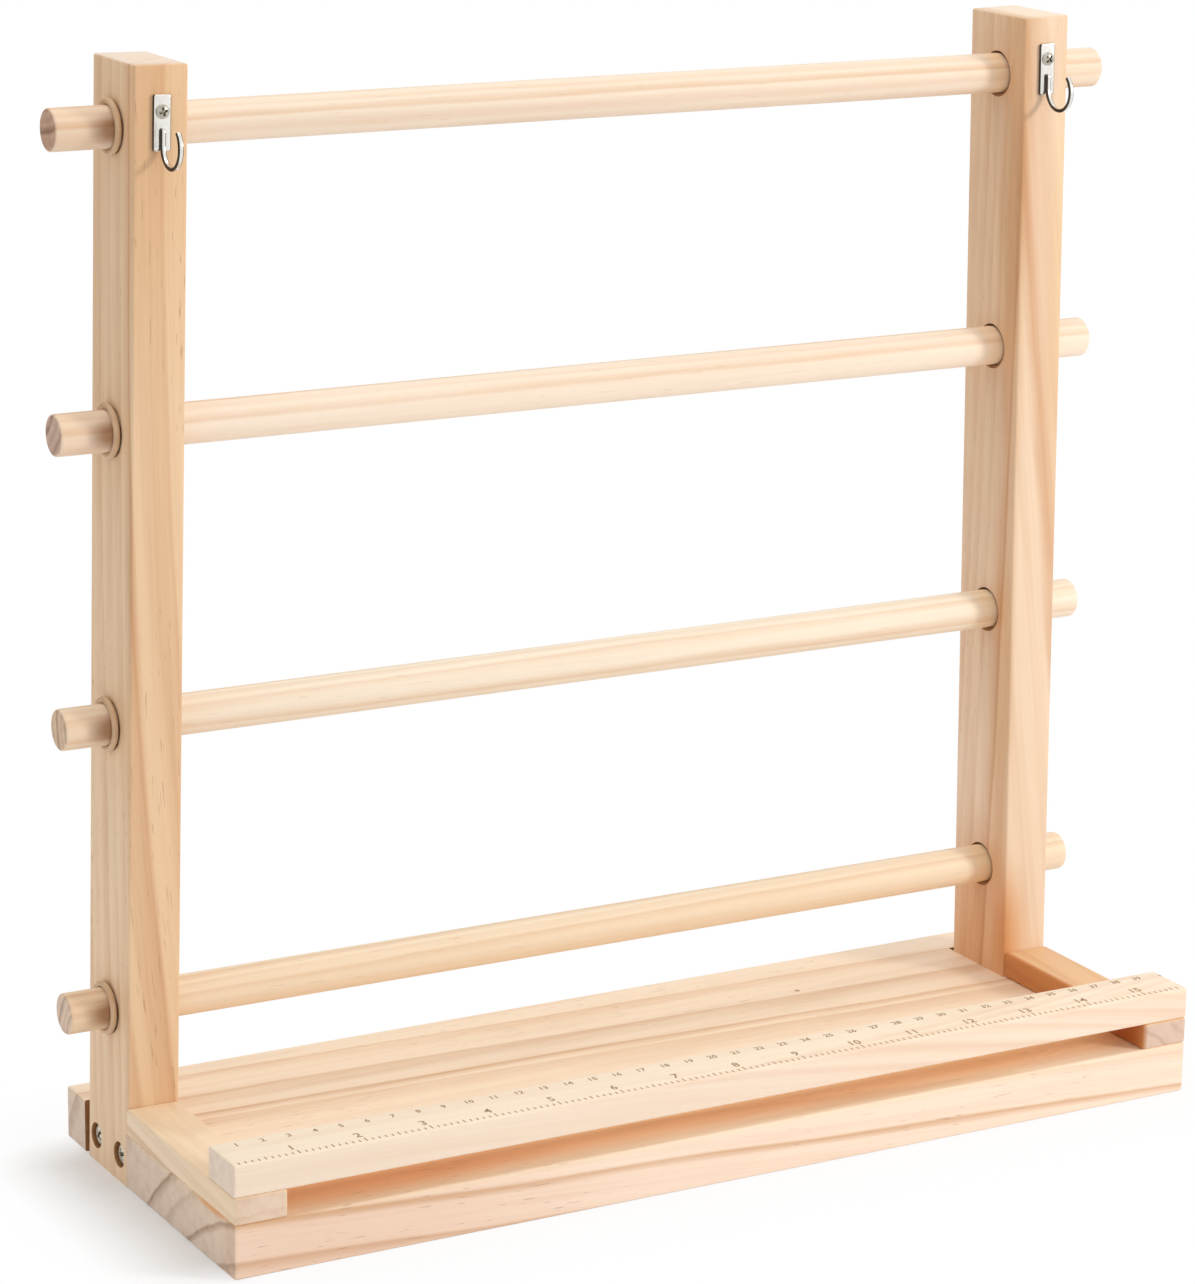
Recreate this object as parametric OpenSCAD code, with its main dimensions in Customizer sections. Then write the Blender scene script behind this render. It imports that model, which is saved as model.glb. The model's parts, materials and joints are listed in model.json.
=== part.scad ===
// Ribbon rack: a wooden base with two uprights that carry four turning dowels for ribbon spools.
// A ruler bar lies across the front on two rails and leaves a slot for the ribbon under it.
// Millimetres. Origin: middle of the base's footprint, on the table. +X right, -Y front, +Z up.

/* [Base] */
// Width of the base and of the ruler bar, left to right
base_width = 400; // [300:1:600]
// Depth of the base, front to back
base_depth = 150; // [135:1:220]
// Thickness of the base plank
base_thickness = 20; // [15:0.5:30]
// Flat taken off the long edges of the boards
edge_ease = 0.6; // [0.2:0.1:1.5]

/* [Uprights] */
// Width of an upright, left to right
upright_width = 20; // [16:0.5:30]
// Depth of an upright, front to back
upright_depth = 36; // [32:0.5:48]
// Length of an upright from the table to its top
upright_length = 404; // [340:1:520]
// Lean of each upright towards the middle, in degrees
upright_lean = 1.2; // [0:0.1:2.5]
// From the front edge of the base to the front of an upright
upright_setback = 94; // [70:1:95]
// Open gap behind the upright in its notch
notch_gap = 3; // [1:0.5:6]

/* [Rails and ruler bar] */
// Width of a rail, left to right
rail_width = 20; // [14:0.5:30]
// Height of a rail, which is the height of the ribbon slot
rail_height = 10; // [6:0.5:16]
// Depth of the ruler bar, front to back
bar_depth = 22; // [18:0.5:36]
// Thickness of the ruler bar
bar_thickness = 12; // [10:0.5:18]

/* [Dowels] */
// Diameter of a dowel
dowel_diameter = 15; // [10:0.5:18]
// Length of a dowel, with the stubs outside the uprights
dowel_length = 432; // [426:1:640]
// Height of the lowest dowel's axis above the table
lowest_dowel = 63; // [45:1:80]
// From the top of an upright down to the axis of the top dowel
top_dowel_drop = 23; // [18:0.5:45]
// Gap round a dowel in its hole
bore_clearance = 0.4; // [0.2:0.05:0.8]
// Flat on the rim of a dowel's ends
dowel_chamfer = 0.8; // [0.3:0.1:2]

/* [Stop rings] */
// Thickness of the rubber ring's round section
ring_section = 2.4; // [1.5:0.1:4]
// Gap between ring and dowel
ring_fit = 0.05; // [0.02:0.01:0.1]
// Gap between ring and upright
ring_gap = 0.3; // [0.1:0.05:1]

/* [Hooks] */
// Width of the hook's plate
plate_width = 6.6; // [5:0.1:12]
// Height of the hook's plate
plate_height = 19.5; // [16:0.5:30]
// Thickness of the hook's plate
plate_thickness = 1.2; // [0.8:0.1:2]
// From the top of the upright to the top of the plate
hook_drop = 10; // [6:0.5:40]
// Width of the bent strip
strip_width = 2; // [1.4:0.1:5]
// Thickness of the bent strip
strip_thickness = 1.4; // [0.8:0.1:2.5]
// How far the strip's straight end reaches up the plate
strip_lap = 8; // [4:0.5:10]
// How far above the plate's foot the bend begins
bend_rise = 2.6; // [0:0.1:3.5]
// Inner radius of the J bend
bend_radius = 6.8; // [4:0.1:14]
// Angle of the J's tip above level, in degrees
tip_angle = 50; // [0:1:70]
// From the plate's top to its screw
hook_screw_drop = 5.8; // [4.5:0.1:7]
// Diameter of the hook screw's head
hook_head_diameter = 5; // [4:0.1:6]
// Height of the hook screw's pan head
hook_head_height = 1.3; // [0.9:0.1:2]
// Height of the straight side of the hook screw's head
hook_head_side = 0.5; // [0.3:0.1:0.8]
// Diameter of the hook screw's shank
hook_shank_diameter = 2.4; // [1.8:0.1:3]
// Length of the hook screw's shank
hook_shank_length = 9; // [6:0.5:9.5]

/* [Wood screws] */
// Diameter of a wood screw's head
head_diameter = 7.6; // [6:0.1:8.4]
// Height of a wood screw's pan head
head_height = 1.8; // [1.5:0.1:2.2]
// Height of the straight side of a wood screw's head
head_side = 1.1; // [0.5:0.1:1.3]
// Diameter of a wood screw's shank
shank_diameter = 4; // [3:0.1:5]
// Diameter of the sunk hole for a head
counterbore_diameter = 9; // [8.6:0.1:12]
// Depth of the sunk hole for a head
counterbore_depth = 2.4; // [2.3:0.1:4]
// Length of the point of a screw, in diameters of its shank
screw_point = 0.8; // [0.5:0.1:1.2]
// Gap round a shank in its hole
shank_clearance = 0.1; // [0.05:0.05:0.3]
// From the front and back of an upright to its screws
upright_screw_inset = 7.5; // [6.5:0.5:11]
// Bite of an upright's screws in the base plank
plank_bite = 22; // [10:1:40]
// Bite of the front screws in the ruler bar
bar_bite = 7; // [4:0.5:8]
// Bite of the rear screws in the rails
rail_bite = 5; // [3:0.5:5.5]
// From the front of an upright to the rear screw of its rail
rear_screw_inset = 14; // [8:1:30]

/* [Hidden] */

$fn = 64;
cut = 1;                       // how far a cutter runs past a face
dowel_total = 4;
base_front = -base_depth / 2;
upright_front = base_front + upright_setback;
upright_middle = upright_front + upright_depth / 2;
top_dowel = upright_length * cos(upright_lean) - top_dowel_drop;
dowel_pitch = (top_dowel - lowest_dowel) / (dowel_total - 1);
rail_top = base_thickness + rail_height;
bar_middle = base_front + bar_depth / 2;
bore_radius = dowel_diameter / 2 + bore_clearance;
ring_radius = dowel_diameter / 2 + ring_fit + ring_section / 2;
shank_hole = shank_diameter + 2 * shank_clearance;
hook_shank_hole = hook_shank_diameter + 2 * shank_clearance;
rail_axis = base_width / 2 - rail_width / 2;
rear_screw_y = upright_front - rear_screw_inset;
front_shank = rail_top + bar_bite - counterbore_depth;
rear_shank = base_thickness + rail_bite - counterbore_depth;
upright_shank = upright_width - counterbore_depth + plank_bite;

pine = "#EBC99E";
pine_pale = "#F3D9B4";
dowel_wood = "#F4E2C6";
rubber = "#CDB792";
steel = "#D8D8D4";

// Height of a dowel's axis; dowel 1 is the top one
function dowel_height(i) = lowest_dowel + (dowel_total - i) * dowel_pitch;

// Distance of a ring's middle from the middle of the rack: it stands clear of the leaning face at its foot
function ring_place(i) =
    base_width / 2 - tan(upright_lean) * (dowel_height(i) - ring_radius)
    + (ring_section / 2 + ring_gap) / cos(upright_lean);

// Rectangle with its corners cut off at 45 degrees, from [0, 0] to [w, h]
module eased_rectangle(w, h, ease) {
    polygon([
        [ease, 0], [w - ease, 0], [w, ease], [w, h - ease],
        [w - ease, h], [ease, h], [0, h - ease], [0, ease]
    ]);
}

// Board along X with eased long edges, its corner at [0, 0, 0]
module board_along_x(length, depth, height) {
    rotate([90, 0, 90])
        linear_extrude(length)
            eased_rectangle(depth, height, edge_ease);
}

// Board along Y with eased long edges, its corner at [0, 0, 0]
module board_along_y(width, length, height) {
    translate([0, length, 0])
        rotate([90, 0, 0])
            linear_extrude(length)
                eased_rectangle(width, height, edge_ease);
}

// Places the left side's pieces as drawn, or mirrors them for the right side
module on_side(side) {
    mirror([side == "right" ? 1 : 0, 0, 0])
        children();
}

// Frame of the left upright: origin at the outer front corner of its foot, +Z along the leaning post
module upright_frame() {
    translate([-base_width / 2, upright_front, 0])
        rotate([0, upright_lean, 0])
            children();
}

// Screw with its seat at z = 0 and its pointed shank along -Z; the pan head has a straight side,
// a domed top and a cross recess
module screw(head_d, head_h, side_h, shank_d, shank_l) {
    rise = head_h - side_h;
    dome = (head_d * head_d / 4 + rise * rise) / (2 * rise);
    point = screw_point * shank_d;
    slot_w = head_d * 0.16;
    slot_l = head_d * 0.6;
    slot_h = head_h * 0.6;
    difference() {
        union() {
            intersection() {
                translate([0, 0, head_h - dome])
                    sphere(r = dome);
                cylinder(d = head_d, h = head_h + cut);
            }
            translate([0, 0, point - shank_l])
                cylinder(d = shank_d, h = shank_l - point);
            translate([0, 0, -shank_l])
                cylinder(d1 = shank_d * 0.2, d2 = shank_d, h = point);
        }
        for (turn = [0, 90])
            rotate([0, 0, turn])
                translate([-slot_l / 2, -slot_w / 2, head_h - slot_h])
                    cube([slot_l, slot_w, slot_h + cut]);
    }
}

// Hole for a screw, placed as the screw is: counterbore above the seat and shank hole below it
module screw_hole(bore_d, bore_h, shank_d, shank_l) {
    if (bore_h > 0)
        cylinder(d = bore_d, h = bore_h + cut);
    translate([0, 0, -shank_l])
        cylinder(d = shank_d, h = shank_l + cut);
}

// Seats of an upright's two screws, in the upright's frame; the shanks point into the base
module at_upright_screw(k) {
    y = k == 1 ? upright_screw_inset : upright_depth - upright_screw_inset;
    upright_frame()
        translate([counterbore_depth, y, base_thickness / 2])
            rotate([0, -90, 0])
                children();
}

// Seats of the screws that come up through the base on the left side
module at_base_screw(y) {
    translate([-rail_axis, y, counterbore_depth])
        rotate([180, 0, 0])
            children();
}

// Seat of the left hook's screw, on the front of the hook's plate
module at_hook_screw() {
    upright_frame()
        translate([upright_width / 2, -plate_thickness, upright_length - hook_drop - hook_screw_drop])
            rotate([90, 0, 0])
                children();
}

module front_screw_hole() {
    at_base_screw(bar_middle)
        screw_hole(counterbore_diameter, counterbore_depth, shank_hole, front_shank + shank_clearance);
}

module rear_screw_hole() {
    at_base_screw(rear_screw_y)
        screw_hole(counterbore_diameter, counterbore_depth, shank_hole, rear_shank + shank_clearance);
}

module upright_screw_hole(k) {
    at_upright_screw(k)
        screw_hole(counterbore_diameter, counterbore_depth, shank_hole, upright_shank + shank_clearance);
}

// Through hole for each dowel, level and straight through both uprights
module dowel_holes() {
    for (i = [1:dowel_total])
        translate([0, upright_middle, dowel_height(i)])
            rotate([0, 90, 0])
                cylinder(r = bore_radius, h = base_width + 2 * cut, center = true);
}

// Notch in the left end of the base: the foot of the upright and the open gap behind it
module upright_notch() {
    upright_frame()
        translate([-upright_width, 0, -upright_width])
            cube([2 * upright_width, upright_depth + notch_gap, base_thickness + 2 * upright_width]);
}

module base_plank() {
    color(pine)
        difference() {
            translate([-base_width / 2, base_front, 0])
                board_along_x(base_width, base_depth, base_thickness);
            for (side = ["left", "right"])
                on_side(side) {
                    upright_notch();
                    front_screw_hole();
                    rear_screw_hole();
                    upright_screw_hole(1);
                    upright_screw_hole(2);
                }
        }
}

// Post that leans inwards from its foot: the foot is trimmed level with the table, the holes are level
module upright(side) {
    color(pine)
        difference() {
            on_side(side)
                difference() {
                    upright_frame()
                        translate([0, 0, -upright_width])
                            linear_extrude(upright_length + upright_width)
                                eased_rectangle(upright_width, upright_depth, edge_ease);
                    translate([-base_width, -base_depth, -2 * upright_width])
                        cube([2 * base_width, 2 * base_depth, 2 * upright_width]);
                    upright_screw_hole(1);
                    upright_screw_hole(2);
                    at_hook_screw()
                        screw_hole(0, 0, hook_shank_hole, hook_shank_length + shank_clearance);
                }
            dowel_holes();
        }
}

module rail(side) {
    color(pine)
        on_side(side)
            difference() {
                translate([-base_width / 2, base_front, base_thickness])
                    board_along_y(rail_width, upright_setback, rail_height);
                front_screw_hole();
                rear_screw_hole();
            }
}

module ruler_bar() {
    color(pine_pale)
        difference() {
            translate([-base_width / 2, base_front, rail_top])
                board_along_x(base_width, bar_depth, bar_thickness);
            for (side = ["left", "right"])
                on_side(side)
                    front_screw_hole();
        }
}

module dowel(i) {
    color(dowel_wood)
        translate([0, upright_middle, dowel_height(i)])
            rotate([0, 90, 0])
                rotate_extrude()
                    polygon([
                        [0, -dowel_length / 2],
                        [dowel_diameter / 2 - dowel_chamfer, -dowel_length / 2],
                        [dowel_diameter / 2, -dowel_length / 2 + dowel_chamfer],
                        [dowel_diameter / 2, dowel_length / 2 - dowel_chamfer],
                        [dowel_diameter / 2 - dowel_chamfer, dowel_length / 2],
                        [0, dowel_length / 2]
                    ]);
}

// Rubber ring on a dowel's stub, outside the upright
module stop_ring(side, i) {
    color(rubber)
        on_side(side)
            translate([-ring_place(i), upright_middle, dowel_height(i)])
                rotate([0, 90, 0])
                    rotate_extrude()
                        translate([ring_radius, 0])
                            circle(d = ring_section);
}

// Plate with a narrow strip that leaves its lower half and bends forward into a J
module hook(side) {
    plate_foot = upright_length - hook_drop - plate_height;
    bend_centre = plate_thickness + strip_thickness + bend_radius;
    color(steel)
        on_side(side)
            difference() {
                upright_frame()
                    translate([upright_width / 2, 0, plate_foot]) {
                        translate([-plate_width / 2, 0, 0])
                            rotate([90, 0, 0])
                                linear_extrude(plate_thickness)
                                    eased_rectangle(plate_width, plate_height, edge_ease);
                        translate([-strip_width / 2, -plate_thickness - strip_thickness, bend_rise])
                            cube([strip_width, strip_thickness, strip_lap - bend_rise]);
                        translate([0, -bend_centre, bend_rise])
                            rotate([-90, 0, 90])
                                rotate_extrude(angle = 180 + tip_angle)
                                    translate([bend_radius, -strip_width / 2])
                                        square([strip_thickness, strip_width]);
                    }
                at_hook_screw()
                    screw_hole(0, 0, hook_shank_hole, hook_shank_length + shank_clearance);
            }
}

module hook_screw(side) {
    color(steel)
        on_side(side)
            at_hook_screw()
                screw(hook_head_diameter, hook_head_height, hook_head_side, hook_shank_diameter, hook_shank_length);
}

module upright_screw(side, k) {
    color(steel)
        on_side(side)
            at_upright_screw(k)
                screw(head_diameter, head_height, head_side, shank_diameter, upright_shank);
}

module base_screw(side, y, shank) {
    color(steel)
        on_side(side)
            at_base_screw(y)
                screw(head_diameter, head_height, head_side, shank_diameter, shank);
}

base_plank();
upright("left");  // left_upright
upright("right");  // right_upright
rail("left");  // left_rail
rail("right");  // right_rail
ruler_bar();
dowel(1);  // dowel_1
dowel(2);  // dowel_2
dowel(3);  // dowel_3
dowel(4);  // dowel_4
stop_ring("left", 1);  // left_ring_1
stop_ring("left", 2);  // left_ring_2
stop_ring("left", 3);  // left_ring_3
stop_ring("left", 4);  // left_ring_4
stop_ring("right", 1);  // right_ring_1
stop_ring("right", 2);  // right_ring_2
stop_ring("right", 3);  // right_ring_3
stop_ring("right", 4);  // right_ring_4
hook("left");  // left_hook
hook("right");  // right_hook
hook_screw("left");  // left_hook_screw
hook_screw("right");  // right_hook_screw
upright_screw("left", 1);  // left_upright_screw_1
upright_screw("left", 2);  // left_upright_screw_2
upright_screw("right", 1);  // right_upright_screw_1
upright_screw("right", 2);  // right_upright_screw_2
base_screw("left", bar_middle, front_shank);  // left_front_screw
base_screw("right", bar_middle, front_shank);  // right_front_screw
base_screw("left", rear_screw_y, rear_shank);  // left_rear_screw
base_screw("right", rear_screw_y, rear_shank);  // right_rear_screw
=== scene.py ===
# %% [markdown]
# # A wooden ribbon rack
# Two leaning posts stand in a plank and carry four dowels for ribbon spools. A ruler bar lies across
# the front on two rails and leaves a slot for the ribbon. The solids come first: they give every
# body its place, and their box is the size that the finished pieces have to keep.

import json
from math import cos, pi, radians, sin, tan

import bmesh
import bpy
import numpy as np
from mathutils import Matrix, Vector

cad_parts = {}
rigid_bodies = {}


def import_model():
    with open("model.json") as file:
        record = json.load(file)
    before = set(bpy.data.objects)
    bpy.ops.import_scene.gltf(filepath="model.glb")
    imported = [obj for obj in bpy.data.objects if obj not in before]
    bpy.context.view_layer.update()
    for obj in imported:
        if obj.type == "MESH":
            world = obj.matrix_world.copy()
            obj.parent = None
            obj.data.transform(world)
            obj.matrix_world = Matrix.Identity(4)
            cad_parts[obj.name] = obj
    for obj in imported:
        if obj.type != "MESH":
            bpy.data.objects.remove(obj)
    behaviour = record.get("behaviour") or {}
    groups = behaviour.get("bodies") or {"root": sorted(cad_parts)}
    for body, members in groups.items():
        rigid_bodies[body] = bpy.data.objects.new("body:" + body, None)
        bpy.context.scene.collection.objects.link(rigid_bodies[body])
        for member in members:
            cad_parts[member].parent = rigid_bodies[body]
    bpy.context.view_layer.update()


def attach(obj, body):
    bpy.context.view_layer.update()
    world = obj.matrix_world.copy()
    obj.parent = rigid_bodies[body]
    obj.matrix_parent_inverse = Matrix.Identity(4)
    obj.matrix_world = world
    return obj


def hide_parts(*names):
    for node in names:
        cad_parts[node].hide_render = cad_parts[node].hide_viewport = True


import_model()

# %% [markdown]
# ## The sizes, in millimetres
# A maker would write these on the drawing first. They repeat the sizes of the solids, so that each
# finished piece lies exactly where its solid is. The left side is worked out and the right side is
# its mirror image.

# %% Sizes of the rack
MM = 0.001
base_width, base_depth, base_thickness = 400.0, 150.0, 20.0
upright_width, upright_depth, upright_length = 20.0, 36.0, 404.0
upright_lean = radians(1.2)
upright_setback, notch_gap = 94.0, 3.0
rail_width, rail_height = 20.0, 10.0
bar_depth, bar_thickness = 22.0, 12.0
dowel_diameter, dowel_length, bore_clearance = 15.0, 432.0, 0.4
lowest_dowel, top_dowel_drop, dowel_total = 63.0, 23.0, 4
base_front = -base_depth / 2
upright_front = base_front + upright_setback
dowel_y = upright_front + upright_depth / 2
rail_top = base_thickness + rail_height
bar_top = rail_top + bar_thickness
top_dowel = upright_length * cos(upright_lean) - top_dowel_drop
dowel_heights = np.linspace(top_dowel, lowest_dowel, dowel_total)
SIDES = {"left": 1.0, "right": -1.0}
print("dowel heights:", np.round(dowel_heights, 2))

# %% [markdown]
# ## From surface to object
# Every shape below is a table of points that a formula gives, and a table of faces between them.
# One function puts such tables into a mesh. It closes the poles of round shapes by merging points
# that coincide, keeps large flat faces flat, and marks an edge as sharp where it turns quickly.


# %% Faces of a grid, and places
def grid_faces(rows, columns, close_rows=False):
    """Quads between neighbours of a grid whose columns run round and close on themselves."""
    row = np.arange(rows if close_rows else rows - 1)[:, None]
    column = np.arange(columns)[None, :]
    here, after = row * columns, (row + 1) % rows * columns
    beside = (column + 1) % columns
    corners = [here + column, here + beside, after + beside, after + column]
    return np.stack(corners, axis=-1).reshape(-1, 4)


def capped(grid):
    """Points and faces of a tube, given as a grid with one row for each outline; a cap closes each end."""
    rows, columns = grid.shape[:2]
    caps = [np.arange(columns)[::-1], np.arange(columns) + (rows - 1) * columns]
    return grid.reshape(-1, 3), [*grid_faces(rows, columns), *caps]


def placed(points, origin, right, forward, up):
    """Points of a piece's own frame, carried to an origin along three directions."""
    return np.asarray(points) @ np.array([right, forward, up], float) + np.asarray(origin, float)


# %% Meshes and their shading
def face_vectors(mesh, field):
    """Normal or centre of every face, as an array with one row for each face."""
    values = np.empty(len(mesh.polygons) * 3)
    mesh.polygons.foreach_get(field, values)
    return values.reshape(-1, 3)


def shade(mesh, flat_along=(), sharp=radians(38)):
    """Smooth shading with sharp edges, and flat shading where a face is square to a given direction."""
    square = 0.99999
    normals = face_vectors(mesh, "normal")
    smooth = np.ones(len(mesh.polygons), bool)
    for direction in flat_along:
        smooth &= np.abs(normals @ np.asarray(direction, float)) < square
    mesh.polygons.foreach_set("use_smooth", smooth)
    mesh.set_sharp_from_angle(angle=sharp)


def make_mesh(name, points, faces, material, flat_along=()):
    """Mesh in metres from points in mm; faces square to a direction of flat_along stay flat."""
    mesh = bpy.data.meshes.new(name)
    mesh.materials.append(material)
    mesh.from_pydata((np.asarray(points) * MM).tolist(), [], [list(map(int, f)) for f in faces])
    work = bmesh.new()
    work.from_mesh(mesh)
    bmesh.ops.remove_doubles(work, verts=work.verts, dist=1e-7)
    bmesh.ops.recalc_face_normals(work, faces=work.faces)
    work.to_mesh(mesh)
    work.free()
    shade(mesh, flat_along)
    return mesh


# %% Pieces in the scene
def in_scene(name, data):
    """New object at the origin, linked to the scene."""
    thing = bpy.data.objects.new(name, data)
    bpy.context.scene.collection.objects.link(thing)
    return thing


def show(name, mesh, body, slot, *nodes):
    """Piece that rides on a body and stands for its solids, if it has any; slot is not used."""
    piece = in_scene(name, mesh)
    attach(piece, body)
    if nodes:
        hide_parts(*nodes)
    print("made", name, "with", len(mesh.polygons), "faces")


# %% [markdown]
# ## Colours and nodes
# Colours are written as they look on a screen, in hex, and a shader needs them linear. Materials
# are graphs of nodes, so one small function adds a node, fills in its settings and joins its inputs.


# %% Helpers that make materials
def colour(code):
    """Linear colour of an sRGB hex value: below 0.04045 divide by 12.92, above it use the 2.4 power."""
    s = np.array([int(code[i : i + 2], 16) for i in (1, 3, 5)]) / 255
    linear = np.where(s <= 0.04045, s / 12.92, ((s + 0.055) / 1.055) ** 2.4)
    return (*linear.tolist(), 1.0)


def add(tree, kind, inputs, **settings):
    """Adds a node and gives its first live output; an input is a plain value or the output that feeds it."""
    node = tree.nodes.new("ShaderNode" + kind)
    for field, value in settings.items():
        setattr(node, field, value)
    for key, value in inputs.items():
        if isinstance(value, bpy.types.NodeSocket):
            tree.links.new(value, node.inputs[key])
        else:
            node.inputs[key].default_value = value
    return next((output for output in node.outputs if output.enabled), None)


def new_material(name):
    """Empty material, its node tree, and the outputs that tell where on a piece a point lies."""
    material = bpy.data.materials.new(name)
    material.use_nodes = True
    tree = material.node_tree
    tree.nodes.clear()
    print("new finish:", name)
    return material, tree, add(tree, "TexCoord", {}).node.outputs


# inputs of a node that mixes two colours
SHARE, FIRST, SECOND = 0, 6, 7


# %% [markdown]
# ## Sawn pine
# The boards are sanded pine with a thin matt finish: pale early wood, honey-coloured late wood that
# darkens slowly through each year and stops at a sharp line, short dark resin flecks and fine
# fibres. A painted stripe would look wrong at the corners, so the wood is solid instead: the year
# rings are tubes round the pith, the heart of the tree, and the board is cut out of them. Then the
# faces show flames and lines, the ends show arcs, and all of them meet at the edges.


# %% The trunk that a board is cut from
def trunk_place(tree, where, pith, grain, bow):
    """Place in the trunk, in mm: the third axis is the pith, a line through a point along the grain.

    The line is bent into a parabola by bow times the square of the distance along it.
    """
    turn = Vector(grain).rotation_difference(Vector((0, 0, 1)))
    into_trunk = {
        "Vector": where["Object"],
        "Scale": (1 / MM, 1 / MM, 1 / MM),
        "Rotation": turn.to_euler(),
        "Location": -(turn @ Vector(pith)),
    }
    straight = add(tree, "Mapping", into_trunk)
    if not bow:
        return straight
    x, y, z = add(tree, "SeparateXYZ", {0: straight}).node.outputs
    square = add(tree, "Math", {0: z, 1: z}, operation="MULTIPLY")
    bent = add(tree, "Math", {0: square, 1: bow, 2: x}, operation="MULTIPLY_ADD")
    return add(tree, "CombineXYZ", {0: bent, 1: y, 2: z})


def long_marks(tree, trunk, across, along, detail):
    """Noise in patches of across by along mm, drawn out along the grain; one half on average."""
    scale = (1 / across, 1 / across, 1 / along)
    place = add(tree, "VectorMath", {0: trunk, 1: scale}, operation="MULTIPLY")
    return add(tree, "TexNoise", {"Vector": place, "Scale": 1.0, "Detail": detail})


# %% [markdown]
# ## Year rings
# How far a point has grown from the pith says which year it belongs to. A colour ramp turns that
# distance into the tone of the wood: it climbs through a year and drops at the ring. A slow wander and
# small ripples keep the tubes from being perfect.


# %% Year rings
def year_rings(tree, trunk, sway, rings, wander):
    """Share of late wood by growth, which is the distance from the pith plus wander and ripple.

    rings lists (growth in mm, strength, fade in mm): the tone climbs slowly through the fade, a strong
    one darkens faster over the last 2 mm, and it drops to nothing just past the ring.
    """
    strong, faster, full, gone = 0.5, -2.0, -0.6, 0.4
    ripple_reach = 0.8
    ripple = long_marks(tree, trunk, 8, 70, 1.0)
    across = add(tree, "VectorMath", {0: trunk, 1: (1, 1, 0)}, operation="MULTIPLY")
    growth = add(tree, "VectorMath", {0: across}, operation="LENGTH")
    for noise, reach in ((sway, wander), (ripple, ripple_reach)):
        moved = {0: noise, 1: 2 * reach, 2: growth}
        growth = add(tree, "Math", moved, operation="MULTIPLY_ADD")

    # the noises are one half on average, so the scale starts later by that much
    shift = wander + ripple_reach
    first = rings[0][0] - rings[0][2] - 1
    last = rings[-1][0] + 2
    limits = {"Value": growth, "From Min": first + shift, "From Max": last + shift}
    scale = add(tree, "MapRange", limits)
    year = add(tree, "ValToRGB", {"Fac": scale})
    ramp = year.node.color_ramp
    for end in ramp.elements:
        end.color = (0, 0, 0, 1)
    before = first
    for ring, strength, fade in rings:
        stops = [(max(ring - fade, before + 0.1), 0.0), (ring + full, strength), (ring + gone, 0.0)]
        if strength >= strong:
            stops.insert(1, (ring + faster, strength / 2))
        for at, tone in stops:
            stop = ramp.elements.new((at - first) / (last - first))
            stop.color = (tone, tone, tone, 1)
        before = ring + gone
    return year


# %% [markdown]
# ## Cut ends, resin and tinted patches
# A cut end shows open pores that take up the finish, so it is darker than the sides. Resin leaves
# small brown dashes along the grain, and here and there a knot. A soft patch with a tint changes the
# colour in one place: some patches shift the wood's tone, and others are painted shade where parts of
# the rack keep the light off.


# %% Marks on the wood
def wood_tone(tree, where, grain, late_share, tones):
    """Early and late wood mixed by the share of late wood, with two other tones on a cut end.

    A face is a cut end where the dot product of its normal and the grain is close to one.
    """
    axis = Vector(grain).normalized()
    lined_up = {0: where["Normal"], 1: axis}
    facing = add(tree, "VectorMath", lined_up, operation="DOT_PRODUCT")
    square = add(tree, "Math", {0: facing}, operation="ABSOLUTE")
    limits = {"Value": square, "From Min": 0.7, "From Max": 0.95}
    end = add(tree, "MapRange", limits, interpolation_type="SMOOTHSTEP")
    early, late = [
        add(tree, "Mix", {SHARE: end, FIRST: colour(side), SECOND: colour(cut)}, data_type="RGBA")
        for side, cut in zip(tones[:2], tones[2:])
    ]
    return add(tree, "Mix", {SHARE: late_share, FIRST: early, SECOND: late}, data_type="RGBA")


def soft_patch(tree, where, middle, reach, core, strength):
    """Ellipsoid, in mm, that has its full strength within core times its reach and none at its reach."""
    offset = add(tree, "VectorMath", {0: where["Object"], 1: [MM * c for c in middle]}, operation="SUBTRACT")
    share = add(tree, "VectorMath", {0: offset, 1: [MM * c for c in reach]}, operation="DIVIDE")
    away = add(tree, "VectorMath", {0: share}, operation="LENGTH")
    limits = {"Value": away, "From Min": 1.0, "From Max": core, "To Max": strength}
    return add(tree, "MapRange", limits, interpolation_type="SMOOTHSTEP")


def resin_marks(tree, where, trunk, sway, flecks, knots):
    """Share of resin: dashes about 0.5 by 8 mm, in patches, and knots given by their place and size."""
    dash = long_marks(tree, trunk, 0.6, 8, 0.0)
    peaks = {"Value": dash, "From Min": 0.74, "From Max": 0.80, "To Max": flecks}
    fleck = add(tree, "MapRange", peaks, interpolation_type="SMOOTHSTEP")
    where_dense = {"Value": sway, "From Min": 0.42, "From Max": 0.58}
    patch = add(tree, "MapRange", where_dense, interpolation_type="SMOOTHSTEP")
    resin = add(tree, "Math", {0: fleck, 1: patch}, operation="MULTIPLY")
    for place, size in knots:
        knot = soft_patch(tree, where, place, (size, size, size), core=0.3, strength=0.8)
        resin = add(tree, "Math", {0: resin, 1: knot}, operation="MAXIMUM")
    return resin


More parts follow.
